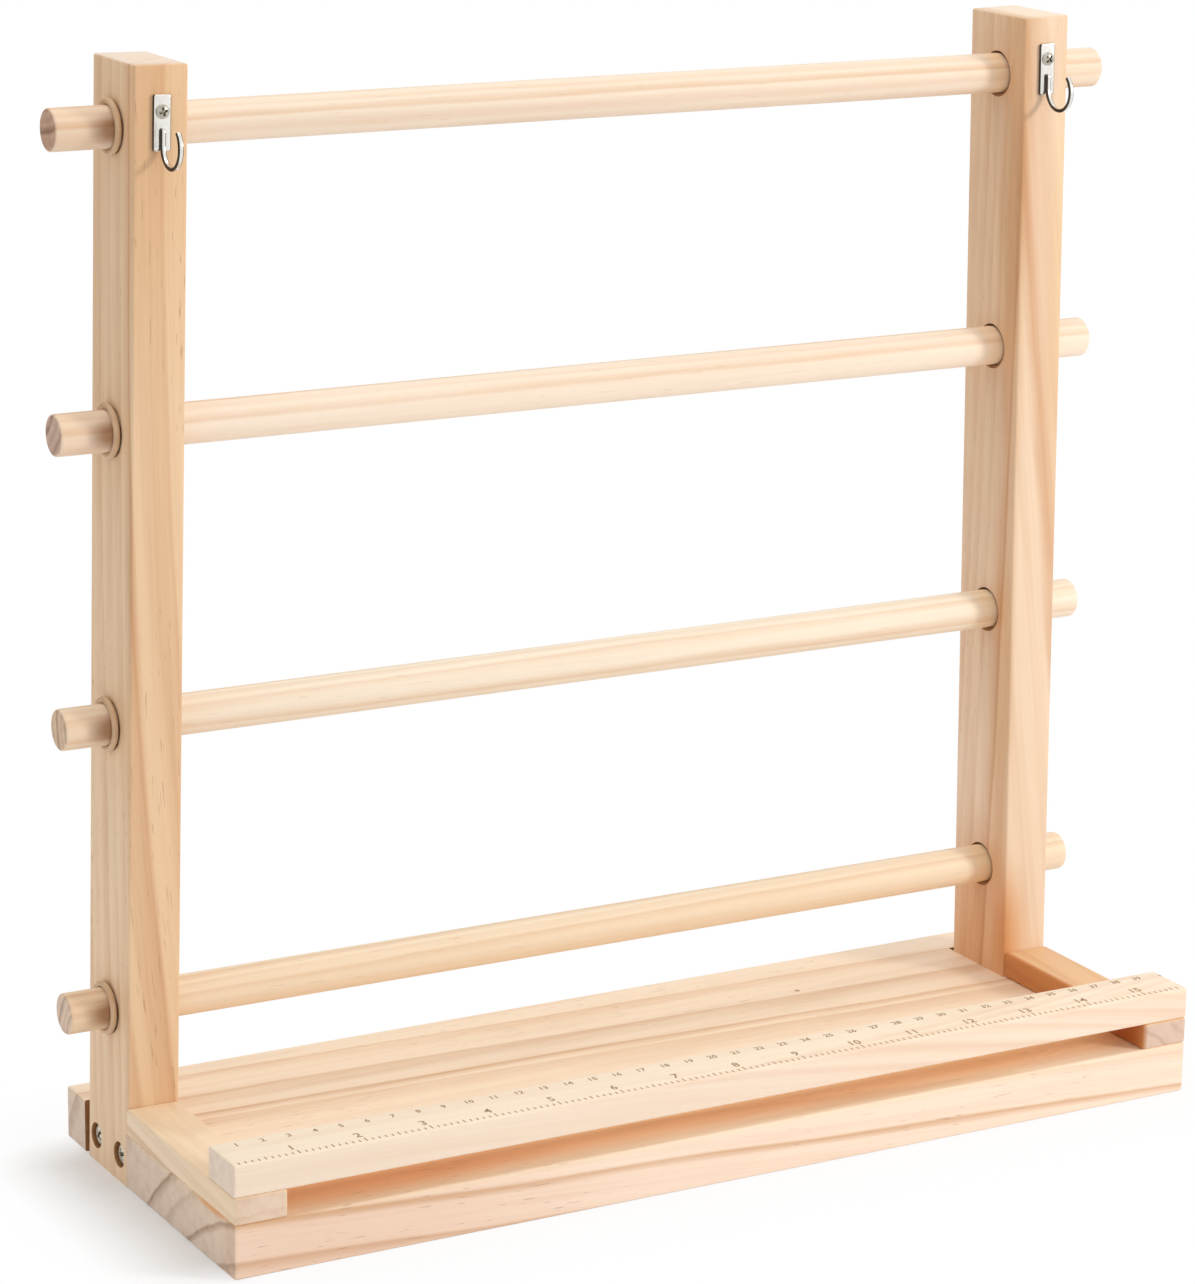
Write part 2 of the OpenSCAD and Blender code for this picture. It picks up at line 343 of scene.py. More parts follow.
# %% Solid wood
def sawn_wood(name, tones, pith, grain, rings, wander=1.2, bow=0.0, flecks=0.25, knots=(), tints_and_painted_shade=()):
    """Pine cut from a trunk: rings, streaks and fibres, then resin and tinted patches; places are in mm.

    tones are early and late wood on the sides, then on a cut end. Each tinted patch is a soft patch, given
    by its middle, its reach along the three axes, the tint that multiplies the wood, and its strength; some
    shift the wood's tone, and others are painted shade.
    """
    material, tree, where = new_material(name)
    trunk = trunk_place(tree, where, pith, grain, bow)

    # the rings wander slowly, over about 60 mm across the grain and 240 mm along it
    sway = long_marks(tree, trunk, 60, 240, 2.0)
    year = year_rings(tree, trunk, sway, rings, wander)

    # streaks 5 mm wide and fibres a little over 1 mm wide, both long along the grain; a streak moves the
    # share of late wood by about a quarter at most, and a fibre by about an eighth
    streak = long_marks(tree, trunk, 5, 260, 2.0)
    fibre = long_marks(tree, trunk, 1.2, 45, 2.0)
    broad = add(tree, "Math", {0: streak, 1: 0.5, 2: -0.22}, operation="MULTIPLY_ADD")
    thread = add(tree, "Math", {0: fibre, 1: 0.26, 2: -0.13}, operation="MULTIPLY_ADD")
    streaked = add(tree, "Math", {0: year, 1: broad}, operation="ADD")
    late = add(tree, "Math", {0: streaked, 1: thread}, operation="ADD", use_clamp=True)

    tone = wood_tone(tree, where, grain, late, tones)
    resin = resin_marks(tree, where, trunk, sway, flecks, knots)
    tone = add(tree, "Mix", {SHARE: resin, FIRST: tone, SECOND: colour("#9C7350")}, data_type="RGBA")
    # each patch multiplies the wood by its tint: some shift the tone, and others are painted shade
    for middle, reach, tint, strength in tints_and_painted_shade:
        patch_share = soft_patch(tree, where, middle, reach, core=0.2, strength=strength)
        tinted = {SHARE: patch_share, FIRST: tone, SECOND: colour(tint)}
        tone = add(tree, "Mix", tinted, data_type="RGBA", blend_type="MULTIPLY")

    # fibres and late wood stand a little proud of the sanded face, and fibres shine a little more
    rough = add(tree, "MapRange", {"Value": fibre, "To Min": 0.62, "To Max": 0.46})
    ridge = add(tree, "Math", {0: year, 1: 0.5, 2: fibre}, operation="MULTIPLY_ADD")
    relief = add(tree, "Bump", {"Height": ridge, "Strength": 0.35, "Distance": 0.12 * MM})
    matt = {"Base Color": tone, "Roughness": rough, "Normal": relief, "Specular IOR Level": 0.35}
    surface = add(tree, "BsdfPrincipled", matt)
    add(tree, "OutputMaterial", {"Surface": surface})
    return material


# %% [markdown]
# ## The plank's wood
# Each board came from another place in another tree, so each has its own pith line and its own year
# rings. The plank's pith lies low and in front of it, which is why its end shows arcs that climb
# towards the front, and its top shows lines along its length. The top under the bar and just behind it
# is tinted deeper, which is painted shade, and there is one small knot on the top.

# %% Finish of the plank
plank_pine = sawn_wood(
    "sanded pine of the plank",
    ("#FCE8D7", "#CE9962", "#E6D1BE", "#8E6240"),
    pith=(-200, -110, -100),
    grain=(1, 0.02, -0.05),
    rings=[
        (112.3, 0.50, 4), (126, 0.60, 3), (139.5, 0.20, 5), (150, 0.70, 5),
        (178.5, 0.35, 10), (183, 0.60, 6), (196.5, 0.45, 9), (213, 0.40, 7),
    ],
    wander=2.2,
    flecks=0.38,
    knots=[((97, 42, 20), 1.6)],
    tints_and_painted_shade=[
        # the first two patches are painted shade on the top under the ruler bar and just behind it, deeper
        # at the slot's left end
        ((0, -54, 20), (600, 20, 3), "#FFDDB8", 1.0),
        ((-150, -60, 20), (110, 18, 3), "#F8E6D2", 1.0),
        ((0, 0, 22), (900, 900, 6), "#FFFFF7", 1.0),
        ((-200, -75, 8), (170, 14, 30), "#F7EFEA", 1.0),
    ],
)

# %% [markdown]
# ## The posts' wood
# The posts were sawn with their sides along the radius, so their sides have straight lines and their
# fronts have one slanting flame. The left post's trunk was bent, and its flame curves with it. The
# right post is darker along its inner side, which faces away from the key lamp, and at its foot: both
# are painted shade.

# %% Finish of the posts
upright_pine = {
    "left": sawn_wood(
        "sanded pine of the left upright",
        ("#F3D6B4", "#C4854F", "#EAD8C8", "#E0C9B5"),
        pith=(-250, 140, 0),
        grain=(-0.125, 0.0, 1.0),
        bow=-0.00019,
        flecks=0.4,
        rings=[
            (100, 0.12, 5), (107, 0.18, 6), (113, 0.12, 5), (121, 0.25, 6),
            (128, 0.15, 6), (135, 0.20, 6), (141.8, 0.55, 7), (151, 0.30, 8),
        ],
        tints_and_painted_shade=[
            ((-188, 17, 400), (40, 10, 130), "#F9F0E6", 1.0),
            ((-188, 15, 200), (60, 10, 900), "#F5F1EC", 1.0),
        ],
    ),
    "right": sawn_wood(
        "sanded pine of the right upright",
        ("#F6DFC9", "#CB8D58", "#F4E2CF", "#EAD4BF"),
        pith=(245, 130, 0),
        grain=(-0.132, 0.0, 1.0),
        rings=[
            (82, 0.15, 4), (87, 0.10, 4), (93, 0.20, 5), (98, 0.15, 4),
            (104, 0.20, 5), (114.4, 0.54, 9), (122, 0.10, 7), (129, 0.08, 6),
        ],
        tints_and_painted_shade=[
            # the first five patches are painted shade: down the inner side, which faces away from the key
            # lamp, and at the foot, where the post meets the plank and the rail
            ((171.5, 37, 260), (8.5, 1000, 1000), "#F0E4D4", 1.0),
            ((178, 37, 20), (8, 40, 80), "#F0CBA2", 0.9),
            ((181, 18, 36), (12, 12, 38), "#EFC9A0", 0.8),
            ((175.5, 25, 100), (6, 12, 170), "#F1DFC6", 1.0),
            ((171.3, 25, 300), (6, 12, 170), "#F1DFC6", 1.0),
            ((187, 15, 200), (60, 10, 900), "#F6F5F0", 1.0),
            ((194, 18, 310), (10, 12, 130), "#FFFDF0", 1.0),
        ],
    ),
}

# %% [markdown]
# ## The wood of rails and ruler bar
# The rails are short pieces with the grain from front to back, and the right one is redder. Its inner
# side is darker still, most of all inside the slot, which is painted shade. The bar is the palest board,
# with fine, close rings, so the print on it is easy to read.

# %% Finish of the rails and the bar
rail_pine = {
    "left": sawn_wood(
        "sanded pine of the left rail",
        ("#F9E3C6", "#C79A6C", "#E9D3C0", "#B98E62"),
        pith=(-185, 0, -40),
        grain=(0.0, 1.0, 0.1),
        rings=[(56, 0.20, 4), (64, 0.45, 5), (71, 0.20, 4), (78, 0.2, 4)],
    ),
    "right": sawn_wood(
        "sanded pine of the right rail",
        ("#EDC498", "#C98F5A", "#DEC5B4", "#A0683C"),
        pith=(150, 0, -20),
        grain=(0.02, 1.0, 0.06),
        rings=[(54, 0.2, 2), (62, 0.25, 2), (70, 0.15, 2), (78, 0.2, 2)],
        tints_and_painted_shade=[
            # both patches are painted shade on the inner side, deeper inside the slot under the bar
            ((180, -20, 25), (3, 140, 60), "#DDAE80", 1.0),
            ((180, -64, 25), (3, 18, 14), "#E2BE9C", 1.0),
        ],
    ),
}
bar_pine = sawn_wood(
    "sanded pine of the ruler bar",
    ("#F8EBD8", "#DFB08A", "#EEDDCB", "#9A6A48"),
    pith=(-200, 0, 0),
    grain=(1, 0.0, -0.005),
    bow=-0.00022,
    rings=[(91, 0.22, 4), (95, 0.25, 4), (99, 0.25, 4), (103, 0.25, 4), (107, 0.22, 4)],
    wander=0.8,
    flecks=0.12,
    knots=[((199.3, -58.5, 42), 1.2)],
    tints_and_painted_shade=[((0, -76, 34), (900, 6, 30), "#FEFAFB", 1.0)],
)

# %% [markdown]
# ## The dowels' wood
# A dowel is turned from a thin stick. Each stick has its own tone and its own heart, off the dowel's
# axis in some direction. Each stub is darkened in front, next to its rubber ring, which is a painted
# shadow, so the places of the rings are worked out first. Next to the right post a warm tint is painted
# shade.

# %% Finish of the dowels
ring_section, ring_fit, ring_gap = 2.4, 0.05, 0.3
ring_radius = dowel_diameter / 2 + ring_fit + ring_section / 2


def ring_distance(height):
    """Distance of a stop ring from the middle of the rack, so that its foot clears the leaning post."""
    post_face = base_width / 2 - tan(upright_lean) * (height - ring_radius)
    return post_face + (ring_section / 2 + ring_gap) / cos(upright_lean)


def dowel_wood(number, height, side_tone, end_tone, way, heart):
    """Turned pine of one dowel, whose pith lies heart mm off its axis in the direction of way."""
    right_wall = base_width / 2 - upright_width - tan(upright_lean) * height
    return sawn_wood(
        f"turned pine of dowel {number}",
        (side_tone, "#D6AB80", end_tone, "#5C3A28"),
        pith=(0, dowel_y + heart * cos(way), height + heart * sin(way)),
        grain=(1, 0.004 * (number - 2.5), 0.006),
        rings=[(17, 0.35, 3), (20.5, 0.18, 3), (24.5, 0.5, 3), (29, 0.2, 4), (33, 0.4, 3)],
        wander=0.8,
        flecks=0.15,
        tints_and_painted_shade=[
            ((-dowel_length / 2, dowel_y, height), (40, 60, 60), "#F8ECE0", 0.8),
            # painted shadow on the front of the stub, next to its rubber ring
            ((-ring_distance(height) - 1, dowel_y - 7, height), (11, 10, 7.5), "#A87E58", 0.85),
            # painted warm shade on the dowel next to the right post, where the post keeps the key lamp off
            ((right_wall, dowel_y, height), (14, 40, 40), "#FFF1DD", 1.0),
        ],
    )


DOWEL_STICKS = [
    ("#F1E2D1", "#D6B8A4", radians(80), 24.0),
    ("#F7E9D9", "#E0C8BA", radians(45), 28.5),
    ("#F8EEDE", "#EAD3BA", radians(170), 22.0),
    ("#F5E4CD", "#EEDCCC", radians(205), 19.0),
]
dowel_pine = [
    dowel_wood(number, height, *stick)
    for number, (height, stick) in enumerate(zip(dowel_heights, DOWEL_STICKS), 1)
]

# %% [markdown]
# ## Scorched wood
# Saw and drill heat the wood that they cut, and a laser burns the print into it. Both leave pine that
# is brown, dull and uneven. A cloud of noise mixes two browns, and the same cloud changes the gloss.


# %% Cuts and print
def mottled(tree, where, size, first, second, detail=2.0):
    """Noise in patches of size mm, and the colour that it mixes from two."""
    patches = {"Vector": where["Object"], "Scale": 1 / (size * MM), "Detail": detail}
    cloud = add(tree, "TexNoise", patches)
    mix = add(tree, "Mix", {SHARE: cloud, FIRST: colour(first), SECOND: colour(second)}, data_type="RGBA")
    return cloud, mix


def scorched_pine(name, patch, dark, light, smooth_low, smooth_high):
    """Pine browned by heat: matt, uneven over patches of patch mm, so that cuts and print read dark."""
    material, tree, where = new_material(name)
    burn, brown = mottled(tree, where, patch, dark, light)
    limits = {"Value": burn, "To Min": smooth_low, "To Max": smooth_high}
    rough = add(tree, "MapRange", limits)
    matt = {"Base Color": brown, "Roughness": rough, "Specular IOR Level": 0.2}
    surface = add(tree, "BsdfPrincipled", matt)
    add(tree, "OutputMaterial", {"Surface": surface})
    return material


scorched = scorched_pine("scorched pine of the cuts", 2.0, "#875B38", "#AB7E55", 0.7, 0.9)
print_brown = scorched_pine("burnt print on pine", 1.0, "#866B50", "#C0A482", 0.75, 0.95)

# %% [markdown]
# ## Boards with eased edges
# A sanded board has no knife edges: a block of sandpaper leaves a radius of about 1 mm. The board is a
# rounded rectangle carried along its length, and at both ends it draws in along a quarter circle.


# %% The board's surface
def rounded_outline(a, b, corner, steps, inset=0.0):
    """Rectangle of a by b with four quarter circles of radius corner, drawn in by inset all round."""
    angle = (np.linspace(0, pi / 2, steps + 1) + pi / 2 * np.arange(4)[:, None]).ravel()
    side_a = np.repeat([1, -1, -1, 1], steps + 1)
    side_b = np.repeat([1, 1, -1, -1], steps + 1)
    x = a / 2 + side_a * (a / 2 - corner) + (corner - inset) * np.cos(angle)
    y = b / 2 + side_b * (b / 2 - corner) + (corner - inset) * np.sin(angle)
    return x, y


def rounded_slab(size, corner=1.0, ease=0.8, steps=4):
    """Rounded rectangle of size[0] by size[1], carried along the third axis for size[2].

    Near an end the outline is drawn in by ease * (1 - sin t) at a distance of ease * (1 - cos t) from
    the end, with t from 0 to 90 degrees.
    """
    a, b, length = size
    t = np.linspace(0, pi / 2, steps + 1)
    drawn = ease * (1 - np.sin(t))
    near = ease * (1 - np.cos(t))
    x, y = rounded_outline(a, b, corner, steps, np.concatenate([drawn, drawn[::-1]])[:, None])
    along = np.concatenate([near, length - near[::-1]])[:, None]
    return capped(np.stack([x, y, along + 0 * x], axis=-1))


# %% Directions of the posts
X, Y, Z = np.eye(3)
post_across = np.array([cos(upright_lean), 0, -sin(upright_lean)])
post_up = np.array([sin(upright_lean), 0, cos(upright_lean)])
post_foot = np.array([-base_width / 2, upright_front, 0])


def post_point(u, w, v):
    """Point of the left post's own frame, from its outer front foot: across, back and up."""
    return post_foot + u * post_across + w * Y + v * post_up


def mirrored(points, side):
    """The left side's points as they are, or their mirror image for the right side."""
    return np.asarray(points) * [SIDES[side], 1, 1]


print("top of the left post:", np.round(post_point(0, 0, upright_length), 2))

# %% [markdown]
# ## Drilled holes
# The posts have through holes for the dowels and sunk holes for the screws. A drill is a lathe shape,
# so each cutter is a profile turned round its axis, and a Boolean modifier takes it out of the board.
# The cutter widens where it meets the face, which eases the rim of the hole as sandpaper does, and it
# hands its own scorched finish to the walls that it cuts.

# %% Turning and drilling
ROUND, HOLE_ROUND = 96, 64


def turned(profile, segments=ROUND, close=False):
    """Profile of (radius, height) pairs turned round the third axis; a radius of 0 closes an end."""
    radius, height = np.asarray(profile, float).T[:, :, None]
    angle = np.linspace(0, 2 * pi, segments, endpoint=False)[None, :]
    points = np.stack([radius * np.cos(angle), radius * np.sin(angle), height + 0 * angle], axis=-1)
    return points.reshape(-1, 3), grid_faces(len(profile), segments, close)


def drill(radius, depth, seat=0.0, shank=0.0, ease=0.35, past=2.0):
    """Cutter that enters a face at height 0: a wide bore down to -depth, then the shank's hole."""
    profile = [(0, -depth - seat), (shank, -depth - seat), (shank, -depth)] if shank else [(0, -depth)]
    profile += [(radius, -depth), (radius, -ease), (radius + ease, 0), (radius + ease, past), (0, past)]
    return turned(profile, HOLE_ROUND)


def through_bore(radius, x_in, x_out, ease=1.0, worn=(0.45, -0.35), past=3.0):
    """Cutter along the third axis with eased rims where it leaves the wood at x_in and at x_out.

    The rims lie off the axis by worn, down and forward, so that their dark band falls where the dowel's
    shadow lies: a painted shadow.
    """
    wide = radius + ease
    inner = [(0, x_in - past), (wide, x_in - past), (wide, x_in), (radius, x_in + ease)]
    outer = [(radius, x_out - ease), (wide, x_out), (wide, x_out + past), (0, x_out + past)]
    points, faces = turned(inner + outer)
    at_rim = np.repeat([1, 1, 1, 0, 0, 1, 1, 1], ROUND)
    # the eased rim is real; its shift down and forward puts the dark band where the dowel's shadow falls,
    # which is painted shadow
    points[:, :2] += at_rim[:, None] * np.array(worn)
    return points, faces


# %% Carving a board
def carve(mesh, cutters, flat_along):
    """Takes each cutter, its points, faces and finish, out of the mesh with an exact Boolean."""
    block = in_scene("block", mesh)
    tools = [in_scene("tool", make_mesh("tool", *cutter)) for cutter in cutters]
    for tool in tools:
        cut = block.modifiers.new("cut", "BOOLEAN")
        cut.operation = "DIFFERENCE"
        cut.solver = "EXACT"
        cut.material_mode = "TRANSFER"
        cut.object = tool
    seen = block.evaluated_get(bpy.context.evaluated_depsgraph_get())
    carved = bpy.data.meshes.new_from_object(seen)
    for done in (block, *tools):
        bpy.data.objects.remove(done)
    shade(carved, flat_along)
    return carved


def saw_board(name, size, origin, axes, finish, cutters, side="left", slot="pine"):
    """Board of a size along three directions from an origin, with its cuts; it stands for its solid."""
    points, faces = rounded_slab(size)
    points = mirrored(placed(points, origin, *axes), side)
    board = carve(make_mesh(f"{name}_wood", points, faces, finish), cutters, (*mirrored(axes, side), Z))
    show(f"{name}_wood", board, "rack", slot, name)


# %% [markdown]
# ## Where the screws sit
# Screws hold the rack together: two through the foot of each post, and two from below through each
# end of the plank into the rail and the bar. The same places serve for the holes and for the screws.

# %% Places of the screws
head_diameter, head_height, shank_diameter = 7.6, 1.8, 4.0
counterbore_diameter, counterbore_depth, shank_clearance = 9.0, 2.4, 0.1
upright_screw_inset, plank_bite, bar_bite, rail_bite = 7.5, 22.0, 7.0, 5.0
rear_screw_inset = 14.0
rail_axis = base_width / 2 - rail_width / 2
upright_shank = upright_width - counterbore_depth + plank_bite
front_shank = rail_top + bar_bite - counterbore_depth
rear_shank = base_thickness + rail_bite - counterbore_depth
foot_front = post_point(0, upright_screw_inset, base_thickness / 2)
foot_back = post_point(0, upright_depth - upright_screw_inset, base_thickness / 2)
SCREW_SEATS = {
    "upright_screw_1": (foot_front, -post_across, upright_shank),
    "upright_screw_2": (foot_back, -post_across, upright_shank),
    "front_screw": (np.array([-rail_axis, base_front + bar_depth / 2, 0]), -Z, front_shank),
    "rear_screw": (np.array([-rail_axis, upright_front - rear_screw_inset, 0]), -Z, rear_shank),
}


def upright_axes(up):
    """Two directions that make a right-handed frame with the given one; the first one is square to Y."""
    side = np.cross(Y, up)
    side /= np.linalg.norm(side)
    return side, np.cross(up, side)


def screw_holes(side, *kinds):
    """Cutters for the named screws of one side."""
    radius = counterbore_diameter / 2
    shank_radius = shank_diameter / 2 + shank_clearance
    cutters = []
    for kind in kinds:
        mouth, out, shank = SCREW_SEATS[kind]
        points, faces = drill(radius, counterbore_depth, shank + shank_clearance, shank_radius)
        cutters.append((mirrored(placed(points, mouth, *upright_axes(out), out), side), faces, scorched))
    return cutters


print("screws on each side:", len(SCREW_SEATS))

# %% [markdown]
# ## The plank
# One wide board. Each end has a notch for the post's foot, a little longer than the post is deep, so
# a dark gap stays open behind it. The notch leans with the post.

# %% Base plank
spare = 20.0
notch_size = (2 * upright_width, upright_depth + notch_gap, 4 * spare)
notch, notch_faces = rounded_slab(notch_size, corner=0.3, ease=0.2, steps=2)
notch = placed(notch, post_point(-upright_width, 0, -spare), post_across, Y, post_up)
cutters = []
for side in SIDES:
    cutters.append((mirrored(notch, side), notch_faces, scorched))
    cutters += screw_holes(side, *SCREW_SEATS)
plank_size = (base_depth, base_thickness, base_width)
saw_board("base_plank", plank_size, (-base_width / 2, base_front, 0), (Y, Z, X), plank_pine, cutters)

# %% [markdown]
# ## The posts
# Each post is a straight stick that leans towards the middle. It starts too long, and a block below
# the table trims its foot level. Its dowel holes are drilled level too, so they are slightly oval where
# they leave the leaning faces. A thin hole near the top takes the hook's screw.

# %% Left and right upright
hook_drop, hook_screw_drop, plate_thickness = 10.0, 5.8, 1.2
hook_shank_length, hook_shank_diameter = 9.0, 2.4
hook_screw_height = upright_length - hook_drop - hook_screw_drop
trim, trim_faces = rounded_slab((200, 200, 60), corner=1.0, ease=0.5, steps=1)
trim = placed(trim, (-300, -100, -60), X, Y, Z)
pin_radius = hook_shank_diameter / 2 + shank_clearance
pin, pin_faces = drill(pin_radius, hook_shank_length - plate_thickness, ease=0.1)
pin = placed(pin, post_point(upright_width / 2, 0, hook_screw_height), post_across, post_up, -Y)
post_size = (upright_width, upright_depth, upright_length + spare)
post_axes = (post_across, Y, post_up)
for side, finish in upright_pine.items():
    cutters = [(mirrored(trim, side), trim_faces, finish)]
    cutters += screw_holes(side, "upright_screw_1", "upright_screw_2")
    for height in dowel_heights:
        outer = -base_width / 2 + height * tan(upright_lean)
        inner = outer + upright_width / cos(upright_lean)
        bore, bore_faces = through_bore(dowel_diameter / 2 + bore_clearance, outer, inner)
        bore = placed(bore, (0, dowel_y, height), -Z, Y, X)
        cutters.append((mirrored(bore, side), bore_faces, scorched))
    cutters.append((mirrored(pin, side), pin_faces, scorched))
    saw_board(f"{side}_upright", post_size, post_point(0, 0, -spare), post_axes, finish, cutters, side)

# %% [markdown]
# ## Rails and ruler bar
# A short rail runs along each end of the plank from the post to the front. The ruler bar lies on both,
# so the slot under it is as high as the rails.

# %% Rails and bar
rail_size = (rail_height, rail_width, upright_setback)
rail_corner = (-base_width / 2, base_front, base_thickness)
for side, finish in rail_pine.items():
    cutters = screw_holes(side, "front_screw", "rear_screw")
    saw_board(f"{side}_rail", rail_size, rail_corner, (Z, X, Y), finish, cutters, side)
bar_size = (bar_depth, bar_thickness, base_width)
bar_corner = (-base_width / 2, base_front, rail_top)
cutters = screw_holes("left", "front_screw") + screw_holes("right", "front_screw")
saw_board("ruler_bar", bar_size, bar_corner, (Y, Z, X), bar_pine, cutters, slot="pine_bar")

# %% [markdown]
# ## The printed scale
# Inches are numbered along the front with marks at each tenth, and centimetres along the back. The
# scale is burnt lightly into the wood, so it is brown, matt and uneven. Numbers start as text in the
# built-in font and marks as small slabs; both become one thin mesh on top of the bar.

# %% Shapes of the scale
INCH, CENTIMETRE = 25.4, 10.0
print_height, print_spread, digit_share = 0.03, 0.09, 0.7


def numeral(text, height):
    """Number as a thin filled shape, centred on the origin, in mm.

    A digit is digit_share of the font's size, and the burn widens its lines by print_spread.
    """
    curve = bpy.data.curves.new("numeral", "FONT")
    curve.body = text
    curve.size = height / digit_share
    curve.resolution_u = 2
    curve.offset = print_spread
    curve.align_x = "CENTER"
    curve.align_y = "CENTER"
    curve.extrude = print_height / 2
    holder = in_scene("numeral", curve)
    mesh = bpy.data.meshes.new_from_object(holder.evaluated_get(bpy.context.evaluated_depsgraph_get()))
    points = np.empty(len(mesh.vertices) * 3)
    mesh.vertices.foreach_get("co", points)
    faces = [list(p.vertices) for p in mesh.polygons]
    for store, done in ((bpy.data.objects, holder), (bpy.data.curves, curve), (bpy.data.meshes, mesh)):
        store.remove(done)
    return points.reshape(-1, 3), faces


def gathered(shapes):
    """Several shapes as one: their points in a row, and the faces counted on from the points before."""
    starts = np.cumsum([0] + [len(points) for points, _ in shapes])
    points = np.concatenate([points for points, _ in shapes])
    faces = [[v + start for v in face] for start, (_, shape) in zip(starts, shapes) for face in shape]
    return points, faces


# %% Numbers and marks
scale_left = -base_width / 2
mark_width, mark_row, last_tenth = 0.5, 0.9, 156
shapes = []

# unit, last number, height of the digits, their distance from the front edge and left of their mark
for unit, count, height, row, aside in ((INCH, 15, 3.9, 6.8, 0.9), (CENTIMETRE, 39, 2.7, 17.7, 1.2)):
    for number in range(1, count + 1):
        points, faces = numeral(str(number), height)
        shapes.append((points + [scale_left + unit * number - aside, base_front + row, bar_top], faces))
for tenth in range(1, last_tenth + 1):
    reach = 3.0 if tenth % 10 == 0 else 2.5 if tenth % 5 == 0 else 1.9
    points, faces = rounded_slab((mark_width, reach, 2 * print_height), corner=0.012, ease=0.01, steps=1)
    left = scale_left + INCH * tenth / 10 - mark_width / 2
    shapes.append((points + [left, base_front + mark_row, bar_top - print_height], faces))
points, faces = gathered(shapes)
scale_mesh = make_mesh("ruler_scale_print", points, faces, print_brown, (Z,))
show("ruler_scale_print", scale_mesh, "rack", "pine_bar")
print("numbers and marks:", len(shapes))

# %% [markdown]
# ## Dowels
# A dowel is a round stick with a sanded rim. Its profile is turned round its axis: flat end, a quarter
# circle at the rim, the long side, and the same at the other end.

# %% Four dowels
rim, straight = 0.9, 2.0
arc = np.linspace(0, pi / 2, 7)
radius = dowel_diameter / 2
half = dowel_length / 2
first_end = [(0, -half), (0.6 * radius, -half)]
first_rim = np.stack([radius - rim + rim * np.sin(arc), -half + rim - rim * np.cos(arc)], axis=-1)
lower = np.concatenate([first_end, first_rim, [(radius, -half + straight)]])
profile = np.concatenate([lower, [(radius, 0.0)], lower[::-1] * [1, -1]])
stick, stick_faces = turned(profile)
for i, height in enumerate(dowel_heights, 1):
    points = placed(stick, (0, dowel_y, height), -Z, Y, X)
    mesh = make_mesh(f"dowel_{i}_wood", points, stick_faces, dowel_pine[i - 1])
    show(f"dowel_{i}_wood", mesh, f"spool_dowel_{i}", "dowel_wood", f"dowel_{i}")

# %% [markdown]
# ## Rubber stop rings
# A rubber ring on each stub keeps the dowel from sliding out. It is a moulded ring of round section,
# beige and slightly see-through, with a fine seam where the two halves of its mould met.


# %% Ring rubber
def ring_rubber():
    """Natural rubber, moulded: soft beige, light wanders a millimetre or two inside it, satin surface."""
    material, tree, where = new_material("moulded natural rubber")
    cloud, beige = mottled(tree, where, 4.0, "#C8A683", "#DCC09E")
    rough = add(tree, "MapRange", {"Value": cloud, "To Min": 0.38, "To Max": 0.55})
    fine = {"Vector": where["Object"], "Scale": 1 / (0.5 * MM), "Detail": 1.0}
    grit = add(tree, "TexNoise", fine)
    relief = add(tree, "Bump", {"Height": grit, "Strength": 0.2, "Distance": 0.05 * MM})
    satin = {"Base Color": beige, "Roughness": rough, "Normal": relief, "IOR": 1.52}
    glow = {"Subsurface Weight": 0.4, "Subsurface Radius": (1.0, 0.6, 0.35), "Subsurface Scale": 1.5 * MM}
    surface = add(tree, "BsdfPrincipled", satin | glow)
    add(tree, "OutputMaterial", {"Surface": surface})
    return material


# %% Eight rings
seam_height, seam_width = 0.05, 0.16
angle = np.linspace(-pi, pi, 28, endpoint=False)
section = ring_section / 2 - seam_height + seam_height * np.exp(-((angle / seam_width) ** 2))
ring_profile = np.stack([ring_radius + section * np.cos(angle), section * np.sin(angle)], axis=-1)
ring, ring_faces = turned(ring_profile, close=True)
rubber = ring_rubber()
for side in SIDES:
    for i, height in enumerate(dowel_heights, 1):
        name = f"{side}_ring_{i}"
        points = mirrored(placed(ring, (-ring_distance(height), dowel_y, height), -Z, Y, X), side)
        mesh = make_mesh(name, points, ring_faces, rubber)
        show(f"{name}_rubber", mesh, f"{side}_stop_{i}", "rubber", name)

# %% [markdown]
# ## Plated steel
# Hooks and screws are steel with a thin plating: nickel on the hooks, zinc on the screws. Use leaves fine
# marks that make the gloss uneven. The plating is worn on the hook screws. A cut edge of sheet steel has
# none, so it is dark and rough; on the hooks that dark finish also covers the rounded sides as a painted
# dark reflection, and the recess of a screw gets a darker finish that is painted shade.


# %% Nickel and zinc
def plated_steel(name, bright, dull, smooth_low, smooth_high, speck):
    """Plated steel: metal with faint clouds, and fine wear marks speck mm wide that change the gloss."""
    material, tree, where = new_material(name)
    _, metal = mottled(tree, where, 3.0, bright, dull)
    marks = {"Vector": where["Object"], "Scale": 1 / (speck * MM), "Detail": 3.0}
    wear = add(tree, "TexNoise", marks)
    limits = {"Value": wear, "From Min": 0.3, "From Max": 0.7, "To Min": smooth_low, "To Max": smooth_high}
    rough = add(tree, "MapRange", limits)
    relief = add(tree, "Bump", {"Height": wear, "Strength": 0.08, "Distance": 0.03 * MM})
    shiny = {"Base Color": metal, "Metallic": 1.0, "Roughness": rough, "Normal": relief}
    surface = add(tree, "BsdfPrincipled", shiny)
    add(tree, "OutputMaterial", {"Surface": surface})
    return material


nickel = plated_steel("nickel-plated steel", "#F4F2EE", "#DEDBD4", 0.14, 0.30, 0.6)
zinc = plated_steel("zinc-plated screw steel", "#F0EBDC", "#CFC7B4", 0.25, 0.45, 0.5)
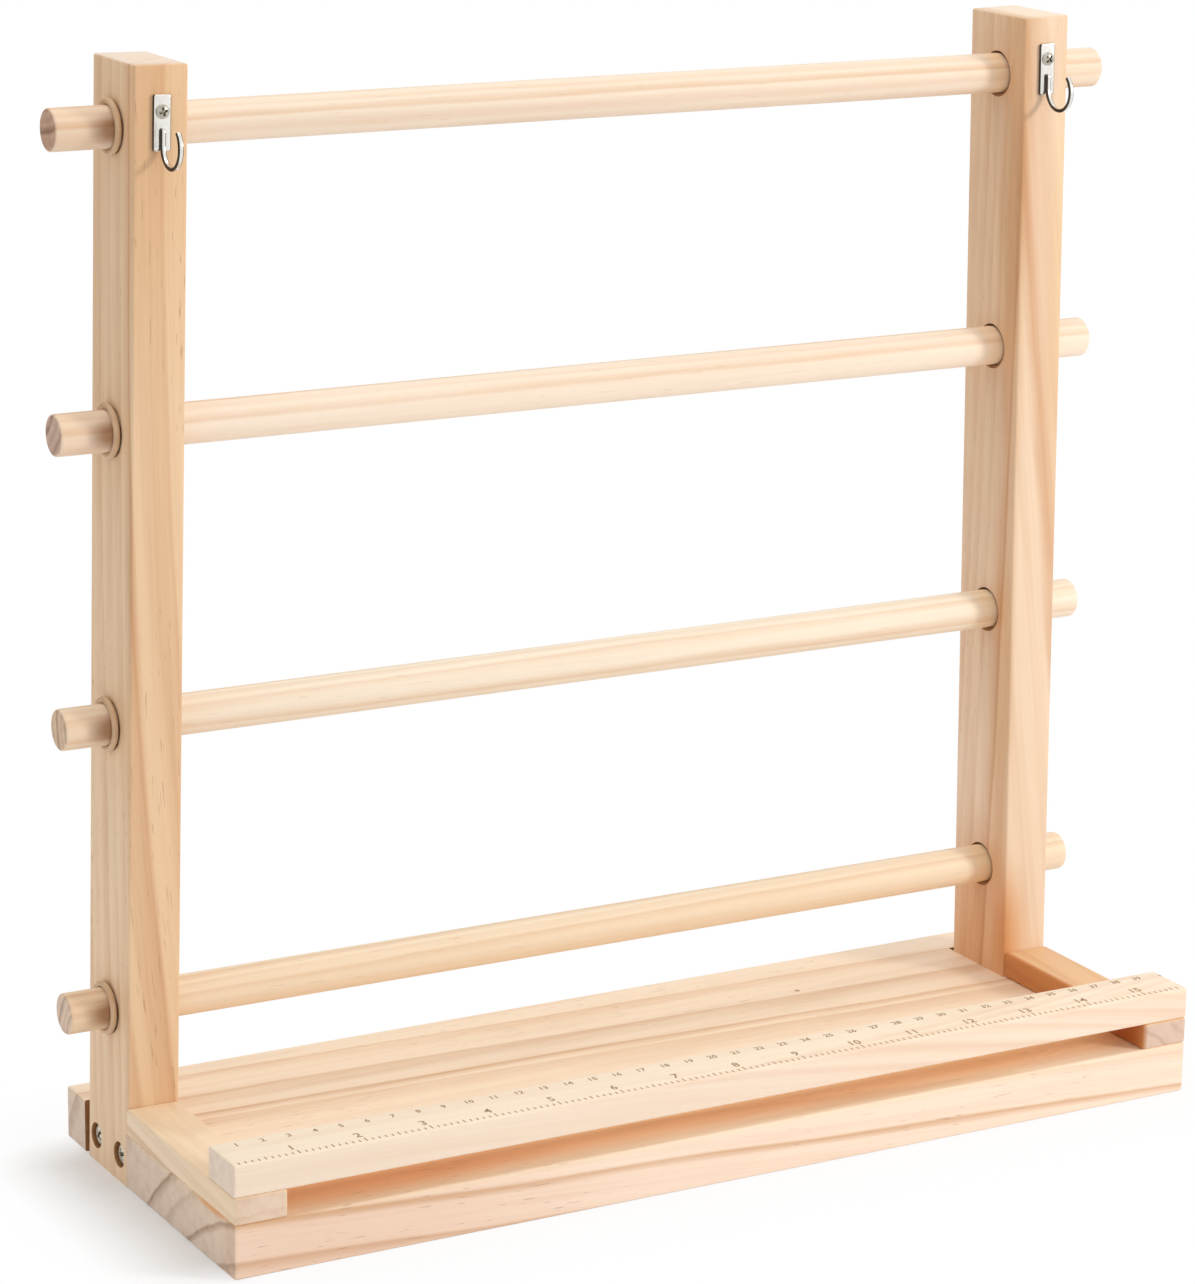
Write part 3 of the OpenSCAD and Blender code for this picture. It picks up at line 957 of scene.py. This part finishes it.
# dark steel: bare on a cut edge, and a painted dark reflection where it covers a hook's rounded sides
edge_steel_painted_dark = plated_steel("cut steel edge and painted dark reflection", "#6B6158", "#3A332D", 0.35, 0.55, 0.4)
worn_nickel = plated_steel("worn nickel of the hook screws", "#D6D1C6", "#9E978B", 0.20, 0.38, 0.5)
# darker steel that paints shade into the cross recess of a screw
shaded_recess_steel = plated_steel("painted shade of the cross recess", "#A8A092", "#7A7263", 0.35, 0.55, 0.4)

# %% [markdown]
# ## Hooks
# Each hook is a small nickel-plated plate with a narrow strip that bends forward into a J. The plate is
# a thin rounded slab. The strip is a rounded section carried along a path: straight down the plate, then
# round an arc, with a tip that draws in. Faces that look sideways get a dark steel finish, which is a bare
# cut edge on the flat sides and a painted dark reflection over the rounded ones.

# %% Strip of a hook
plate_width, plate_height = 6.6, 19.5
strip_width, strip_thickness, strip_lap = 2.0, 1.4, 8.0
bend_rise, bend_radius, tip_angle = 2.6, 6.8, radians(50)
strip_corner, strip_inset = 0.65, 0.5
plate_foot = upright_length - hook_drop - plate_height


def hook_strip():
    """Strip in the frame (across, forward, up) from the plate's foot: its middle line and its section.

    The line comes down at half the strip's thickness in front of the plate, then follows a circle from
    its back through its lowest point to tip_angle above level. The section shrinks as the square root of
    one minus s squared over the last strip_inset of each end.
    """
    circle = bend_radius + strip_thickness / 2
    lap = np.linspace(strip_lap, bend_rise, 8, endpoint=False)
    turn = np.linspace(0, pi + tip_angle, 56)
    start = plate_thickness + strip_thickness / 2
    forward = np.concatenate([0 * lap + start, start + circle * (1 - np.cos(turn))])
    up = np.concatenate([lap, bend_rise - circle * np.sin(turn)])
    line = np.stack([forward, up], axis=-1)
    ahead = np.gradient(line, axis=0)
    ahead /= np.linalg.norm(ahead, axis=1, keepdims=True)
    outward = np.stack([-ahead[:, 1], ahead[:, 0]], axis=-1)
    length = np.concatenate([[0], np.cumsum(np.linalg.norm(np.diff(line, axis=0), axis=1))])
    s = np.clip(1 - np.minimum(length, length[-1] - length) / strip_inset, 0, 0.95)
    shrink = np.sqrt(1 - s**2)[:, None]
    x, y = rounded_outline(strip_width, strip_thickness, strip_corner, 5)
    across = shrink * (x - strip_width / 2)
    thick = shrink * (y - strip_thickness / 2)
    forward = line[:, :1] + thick * outward[:, :1]
    up = line[:, 1:] + thick * outward[:, 1:]
    return capped(np.stack([across, forward, up], axis=-1))


# %% Left and right hook
edge_on = 0.25
middle = upright_width / 2
plate, plate_faces = rounded_slab((plate_width, plate_height, plate_thickness), corner=0.9, ease=0.5)
plate = placed(plate, post_point(middle - plate_width / 2, 0, plate_foot), post_across, post_up, -Y)
strip, strip_faces = hook_strip()
strip = placed(strip, post_point(middle, 0, plate_foot), post_across, -Y, post_up)
points, faces = gathered([(plate, plate_faces), (strip, strip_faces)])
for side in SIDES:
    mesh = make_mesh(f"{side}_hook_nickel", mirrored(points, side), faces, nickel, (Y,))
    # faces turned sideways take the dark steel, partly a bare cut edge and partly a painted dark reflection
    mesh.materials.append(edge_steel_painted_dark)
    sideways = np.abs(face_vectors(mesh, "normal")[:, 0]) > edge_on
    mesh.polygons.foreach_set("material_index", sideways.astype(np.int32))
    show(f"{side}_hook_nickel", mesh, "rack", "hook_metal", f"{side}_hook")

# %% [markdown]
# ## Screws
# All the screws have a pan head, with a short straight side, a domed top and a cross recess. The whole
# screw is one turned grid, from its point to the top of the dome, and the recess is pressed into it: the
# height of a point falls where it lies inside one of the two bars of the cross. The faces in the recess
# get a darker finish, which is painted shade.


# %% A screw with a cross recess
def cross_shape(x, y, head_d):
    """One inside a cross, and nothing outside it.

    Its bars reach short and long times the head's diameter from the middle, and their walls slope.
    """
    short, long, slope = 0.08, 0.30, 0.02

    def within(place, reach):
        return np.clip((reach * head_d - np.abs(place)) / (slope * head_d) + 0.5, 0, 1)

    return np.maximum(within(x, short) * within(y, long), within(x, long) * within(y, short))


def screw_points(head_d, head_h, side_h, shank_d, shank_l):
    """Turned grid with its seat at height 0: point, shank, straight side, and a sphere cap over it.

    The cap's radius is (r * r + rise * rise) / (2 * rise), with r the head's radius, and the cross lowers
    it by its depth.
    """
    depth = 0.6 * head_h
    rise = head_h - side_h
    cap = (head_d**2 / 4 + rise**2) / (2 * rise)
    r_top = np.linspace(head_d / 2 - 0.06, 0, 40)
    z_top = head_h - cap + np.sqrt(cap**2 - r_top**2)
    r, point = shank_d / 2, 0.8 * shank_d
    shank = [(0, -shank_l), (0.2 * r, -shank_l), (r, point - shank_l), (r, 0)]
    wall = [(head_d / 2 - 0.1, 0), (head_d / 2, 0.1), (head_d / 2, side_h - 0.08)]
    points, faces = turned(np.concatenate([shank, wall, np.stack([r_top, z_top], axis=-1)]))
    on_cap = np.arange(len(points)) >= (len(shank) + len(wall)) * ROUND
    points[:, 2] -= depth * cross_shape(points[:, 0], points[:, 1], head_d) * on_cap
    return points, faces


# %% A screw on its seat
def seat_screw(name, sizes, seat, out, finish, slot, spin):
    """Makes a screw, turns it about its axis by spin and puts it on its seat, pointing out."""
    head_d = sizes[0]
    points, faces = screw_points(*sizes)
    level, ahead = upright_axes(out) if abs(out[1]) < 0.9 else (X, np.cross(out, X))
    first = level * cos(spin) + ahead * sin(spin)
    second = np.cross(out, first)
    mesh = make_mesh(name, placed(points, seat, first, second, out), faces, finish)
    # the second finish paints shade into the cross recess
    mesh.materials.append(shaded_recess_steel)
    offset = face_vectors(mesh, "center") / MM - seat
    in_cross = cross_shape(offset @ first, offset @ second, head_d) > 0.3
    on_head = offset @ out > 0.05 * head_d
    mesh.polygons.foreach_set("material_index", (in_cross & on_head).astype(np.int32))
    show(f"{name}_steel", mesh, "rack", slot, name)


# %% Ten screws
head_side = 1.1
hook_head_diameter, hook_head_height, hook_head_side = 5.0, 1.3, 0.5
head = (head_diameter, head_height, head_side, shank_diameter)
hook_head = (hook_head_diameter, hook_head_height, hook_head_side)
hook_screw = (*hook_head, hook_shank_diameter, hook_shank_length)
hook_seat = post_point(upright_width / 2, -plate_thickness, hook_screw_height)

# each screw stops at an angle of its own
for turn, side in enumerate(SIDES):
    for count, (kind, (mouth, out, shank)) in enumerate(SCREW_SEATS.items()):
        seat = mirrored(mouth - counterbore_depth * out, side)
        spin = 0.35 + 0.5 * count + turn
        seat_screw(f"{side}_{kind}", (*head, shank), seat, mirrored(out, side), zinc, "screw_metal", spin)
    seat = mirrored(hook_seat, side)
    spin = 0.25 + 0.6 * turn
    seat_screw(f"{side}_hook_screw", hook_screw, seat, -Y, worn_nickel, "hook_metal", spin)

# %% [markdown]
# ## Table and background
# The rack stands on a white table that runs into a white background. Only the camera and shiny surfaces
# see the pure white, so it adds no light to the wood. Near the rack the table is real paper and keeps
# the soft shadow; further out it fades into the white.


# %% Where plain white is seen
def seen_plain(tree):
    """One for rays from the camera, from shiny surfaces and through clear ones, and nothing for the rest."""
    ray = add(tree, "LightPath", {}).node.outputs
    seen = ray["Is Camera Ray"]
    for other in ("Is Glossy Ray", "Is Transmission Ray"):
        seen = add(tree, "Math", {0: seen, 1: ray[other]}, operation="MAXIMUM")
    return seen


def plain_share(tree, where, middle, half, reach, least):
    """Share of plain white: least on a rectangle of the table, and all of it reach mm away from it.

    The rectangle is given by its middle and half its sides, in mm.
    """
    centre, sides = [(MM * x, MM * y, 0) for x, y in (middle, half)]
    offset = add(tree, "VectorMath", {0: where["Object"], 1: centre}, operation="SUBTRACT")
    either_way = add(tree, "VectorMath", {0: offset}, operation="ABSOLUTE")
    past = add(tree, "VectorMath", {0: either_way, 1: sides}, operation="SUBTRACT")
    clear = add(tree, "VectorMath", {0: past, 1: (0, 0, 0)}, operation="MAXIMUM")
    away = add(tree, "VectorMath", {0: clear}, operation="LENGTH")
    limits = {"Value": away, "From Max": MM * reach, "To Min": least}
    return add(tree, "MapRange", limits, interpolation_type="SMOOTHSTEP")


# %% White table
def table_paper():
    """White paper: fine fibres 0.8 mm across, matt.

    The camera sees it turn into plain white within a few centimetres of the rack. A little of its own
    shade stays all round the foot, and most of it along the left end, where the rack stands in its own
    light.
    """
    material, tree, where = new_material("white table paper")
    _, white = mottled(tree, where, 0.8, "#F2F4F8", "#F8FAFE")
    paper = add(tree, "BsdfDiffuse", {"Color": white, "Roughness": 0.5})
    glow = add(tree, "Emission", {"Color": (1, 1, 1, 1), "Strength": 1.0})
    footprint = (base_width / 2, base_depth / 2)
    round_foot = plain_share(tree, where, (0, 0), footprint, reach=60, least=0.88)
    beside_end = (-base_width / 2 - 5, -2.5)
    left_end = plain_share(tree, where, beside_end, (0, 47.5), reach=40, least=0.0)
    fade = add(tree, "Math", {0: round_foot, 1: left_end}, operation="MINIMUM")
    share = add(tree, "Math", {0: fade, 1: seen_plain(tree)}, operation="MULTIPLY")
    surface = add(tree, "MixShader", {0: share, 1: paper, 2: glow})
    add(tree, "OutputMaterial", {"Surface": surface})
    return material


table_radius, below_rack = 9.0, 0.05
spread = table_radius * np.array([0.0, 0.02, 0.05, 0.1, 0.2, 0.4, 1.0])[:, None] / MM
around = np.linspace(0, 2 * pi, 48, endpoint=False)[None, :]
sheet = [spread * np.cos(around), spread * np.sin(around), 0 * spread * around - below_rack]
sheet_faces = grid_faces(len(spread), around.shape[1])
sheet = np.stack(sheet, axis=-1).reshape(-1, 3)
floor = in_scene("table_top", make_mesh("table_top", sheet, sheet_faces, table_paper(), (Z,)))
print("table:", len(sheet_faces), "faces")

# %% White background
world = bpy.data.worlds.new("white studio")
world.use_nodes = True
sky = world.node_tree
sky.nodes.clear()
room = add(sky, "Background", {"Color": colour("#FDFAF7"), "Strength": 0.71})
plain = add(sky, "Background", {"Color": (1, 1, 1, 1), "Strength": 1.0})
choice = add(sky, "MixShader", {0: seen_plain(sky), 1: room, 2: plain})
add(sky, "OutputWorld", {"Surface": choice})
bpy.context.scene.world = world
print("background:", world.name)

# %% [markdown]
# ## Lamps
# A warm softbox stands to the right in front, a little above the rack, so the left faces fall into shade
# and the hooks cast their shadows to the left. A wide softbox overhead lifts the tops, and the white room
# fills the rest. A dark card behind on the left is seen by reflections alone: it draws the dark edges of
# the metal.


# %% Softboxes
def softbox(name, place, target, size, power, tint):
    """Square area lamp at a place, turned towards a target, in metres and watts."""
    lamp = bpy.data.lights.new(name, "AREA")
    lamp.shape = "SQUARE"
    lamp.size = size
    lamp.energy = power
    lamp.color = colour(tint)[:3]
    holder = in_scene(name, lamp)
    holder.location = place
    holder.rotation_euler = (Vector(target) - Vector(place)).to_track_quat("-Z", "Y").to_euler()


heart_of_rack = (0.0, 0.0, 0.18)
softbox("key_softbox", (1.20, -1.15, 0.75), heart_of_rack, 0.3, 11.6, "#FFF1DE")
softbox("top_softbox", (-0.10, 0.10, 1.70), heart_of_rack, 1.2, 7.0, "#FFFAEC")


# %% Dark card
def dark_cloth():
    """Black cotton on a frame: nearly black, with threads 1 mm apart."""
    material, tree, where = new_material("black cotton card")
    _, black = mottled(tree, where, 1.0, "#1C1815", "#2C2620", detail=1.0)
    cloth = add(tree, "BsdfDiffuse", {"Color": black})
    add(tree, "OutputMaterial", {"Surface": cloth})
    return material


card_distance, card_foot, card_top = 0.75, 0.03, 0.75
swing = np.linspace(radians(100), radians(200), 24)[None, :]
rise = np.linspace(card_foot, card_top, 8)[:, None]
level = card_distance + 0 * rise
bend = np.stack([level * np.cos(swing), level * np.sin(swing), rise + 0 * swing], axis=-1)
rows, columns = bend.shape[:2]
bend_faces = grid_faces(rows, columns).reshape(-1, columns, 4)[:, :-1].reshape(-1, 4)
card = in_scene("dark_card", make_mesh("dark_card", bend.reshape(-1, 3) / MM, bend_faces, dark_cloth()))
card.visible_camera = False
card.visible_diffuse = False
card.visible_shadow = False
print("card:", len(bend_faces), "faces")

# %% [markdown]
# ## Camera
# The photograph was taken from the left in front, slightly above, with a long lens. The place, the angles
# and the lens come from matching the edges of the boards in the picture.

# %% Camera at the photograph's angle
camera_data = bpy.data.cameras.new("camera")
camera_data.sensor_width = 36.0
camera_data.lens = 119.76
camera = in_scene("camera", camera_data)
yaw, pitch, roll = radians(-29.2704), radians(15.0394), radians(0.8833)
aim = Matrix.Rotation(yaw, 4, "Z") @ Matrix.Rotation(pi / 2 - pitch, 4, "X") @ Matrix.Rotation(roll, 4, "Z")
camera.matrix_world = Matrix.Translation((-0.75658, -1.31457, 0.59200)) @ aim
bpy.context.scene.camera = camera
bpy.context.scene.view_settings.view_transform = "Standard"
print("camera at", tuple(round(c, 3) for c in camera.matrix_world.translation))
